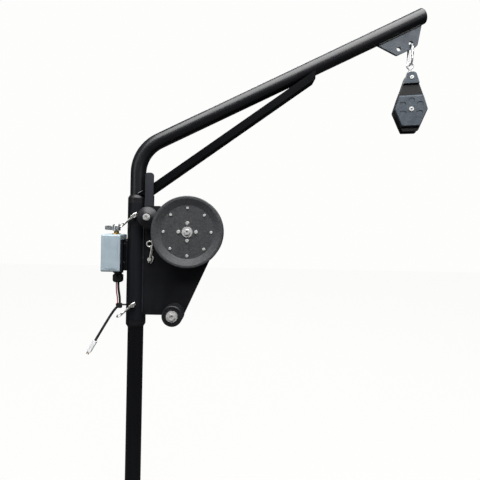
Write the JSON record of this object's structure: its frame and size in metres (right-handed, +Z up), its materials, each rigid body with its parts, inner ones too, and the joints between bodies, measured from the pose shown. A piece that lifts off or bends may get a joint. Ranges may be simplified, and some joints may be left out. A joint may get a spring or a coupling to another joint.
{
  "type": "davit line hauler",
  "caption": "Pole-mounted davit arm with a hanging snatch block and a motor-driven hauling wheel for rope, with rollers, switch box and cable.",
  "frame": {"origin": "centre of the mast's foot, on the mast's axis", "axes": "+Z up along the mast, +X along the davit arm's reach, -Y towards the face of the hauling wheel"},
  "size_m": [1.0605, 0.1437, 1.5473],
  "materials": {
    "mast_black": "satin black powder coat on steel tube",
    "sleeve_black": "satin black powder coat",
    "arm_black": "satin black powder coat with a soft highlight",
    "plate_black": "matt black powder coat, finely textured",
    "tip_plate_grey": "dark powder coat that catches the light",
    "bush_plastic": "black moulded plastic",
    "post_plastic": "dark grey plastic bar",
    "roller_plastic": "black turned plastic",
    "wheel_plastic": "black turned plastic with a mottled face",
    "stainless": "bare stainless steel",
    "zinc_steel": "zinc plated steel wire and pins",
    "chrome": "polished steel",
    "brass": "bare brass",
    "box_paint": "light blue-grey enamel on a casting",
    "switch_plastic": "black moulded plastic",
    "gland_plastic": "black nylon",
    "cable_jacket": "black cable jacket",
    "red_insulation": "red wire insulation",
    "white_nylon": "white nylon shell",
    "motor_black": "black enamel",
    "gearbox_cast": "as-cast aluminium",
    "block_plastic": "dark grey moulded plastic"
  },
  "bodies": {
    "frame": {"arm_brace": "arm_black", "arm_end_cap": "bush_plastic", "box_body": "box_paint", "box_bracket": "sleeve_black", "box_cover": "box_paint", "bracket_screws": "stainless", "cable_splice": "cable_jacket", "connector_contacts": "brass", "connector_shell": "white_nylon", "cover_screws": "stainless", "davit_arm": "arm_black", "gearbox_cover": "gearbox_cast", "gearbox_housing": "gearbox_cast", "gearbox_screws": "stainless", "gland_body": "gland_plastic", "gland_nut": "gland_plastic", "guide_post": "post_plastic", "hairpin_clips": "zinc_steel", "hauler_plate": "plate_black", "hitch_pins": "zinc_steel", "line_stripper": "plate_black", "lower_bush": "bush_plastic", "mast_tube": "mast_black", "motor_cable": "cable_jacket", "motor_can": "motor_black", "motor_end_cap": "motor_black", "red_wire": "red_insulation", "roller_bolts": "stainless", "roller_nuts": "stainless", "roller_washers": "stainless", "shaft_bearings": "stainless", "sleeve_tube": "sleeve_black", "supply_lead": "cable_jacket", "switch_body": "switch_plastic", "switch_cable": "cable_jacket", "switch_nut": "brass", "tip_plate": "tip_plate_grey", "upper_bush": "bush_plastic"},
    "wheel": {"wheel_front_flange": "wheel_plastic", "wheel_rear_flange": "wheel_plastic", "wheel_hub": "stainless", "rim_screws": "stainless", "hub_screws": "stainless", "hub_washer": "stainless", "hub_bolt": "stainless", "drive_shaft": "stainless", "worm_wheel": "brass"},
    "armature": {"motor_armature": "stainless"},
    "top_roller": {"top_roller": "roller_plastic"},
    "lower_roller": {"lower_roller": "roller_plastic"},
    "carabiner": {"carabiner_body": "chrome"},
    "gate": {"carabiner_gate": "chrome"},
    "eye": {"swivel_eye": "chrome"},
    "block": {"block_head": "stainless", "block_front_cheek": "block_plastic", "block_rear_cheek": "block_plastic", "block_axle": "stainless", "becket_pin": "stainless"},
    "block_sheave": {"block_sheave": "block_plastic"},
    "lever": {"switch_lever": "chrome"}
  },
  "joints": [
    {"name": "wheel_spin", "type": "hinge", "parent": "frame", "child": "wheel", "pos_m": [0.1667, 0, 0.8316], "axis": [0, -1, 0], "continuous": true},
    {"name": "armature_spin", "type": "hinge", "parent": "frame", "child": "armature", "pos_m": [0.1305, 0.028, 0.71], "axis": [0, 0, 1], "continuous": true},
    {"name": "top_roller_spin", "type": "hinge", "parent": "frame", "child": "top_roller", "pos_m": [0.0445, 0, 0.874], "axis": [0, -1, 0], "continuous": true},
    {"name": "lower_roller_spin", "type": "hinge", "parent": "frame", "child": "lower_roller", "pos_m": [0.126, 0, 0.58], "axis": [0, -1, 0], "continuous": true},
    {"name": "carabiner_swing", "type": "hinge", "parent": "frame", "child": "carabiner", "pos_m": [0.85089, 0, 1.43487], "axis": [0, -1, 0], "range_deg": [-30, 30]},
    {"name": "gate_open", "type": "hinge", "parent": "carabiner", "child": "gate", "pos_m": [0.85089, -0.0148, 1.39507], "axis": [-1, 0, 0], "range_deg": [0, 12], "stiffness_Nm_per_rad": 0.02, "springref_deg": -17.19},
    {"name": "eye_swing", "type": "hinge", "parent": "carabiner", "child": "eye", "pos_m": [0.85089, 0, 1.37127], "axis": [0, -1, 0], "range_deg": [-20, 20]},
    {"name": "block_swivel", "type": "hinge", "parent": "eye", "child": "block", "pos_m": [0.85089, 0, 1.22382], "axis": [0, 0, 1], "continuous": true},
    {"name": "sheave_spin", "type": "hinge", "parent": "block", "child": "block_sheave", "pos_m": [0.85089, 0, 1.22382], "axis": [-0.2079, -0.9781, 0], "continuous": true},
    {"name": "lever_turn", "type": "hinge", "parent": "frame", "child": "lever", "pos_m": [-0.066, 0, 0.83], "axis": [0, 0, 1], "range_deg": [-45, 45]}
  ],
  "couplings": [
    {"joint": "armature_spin", "follows": "wheel_spin", "ratio": 30}
  ]
}
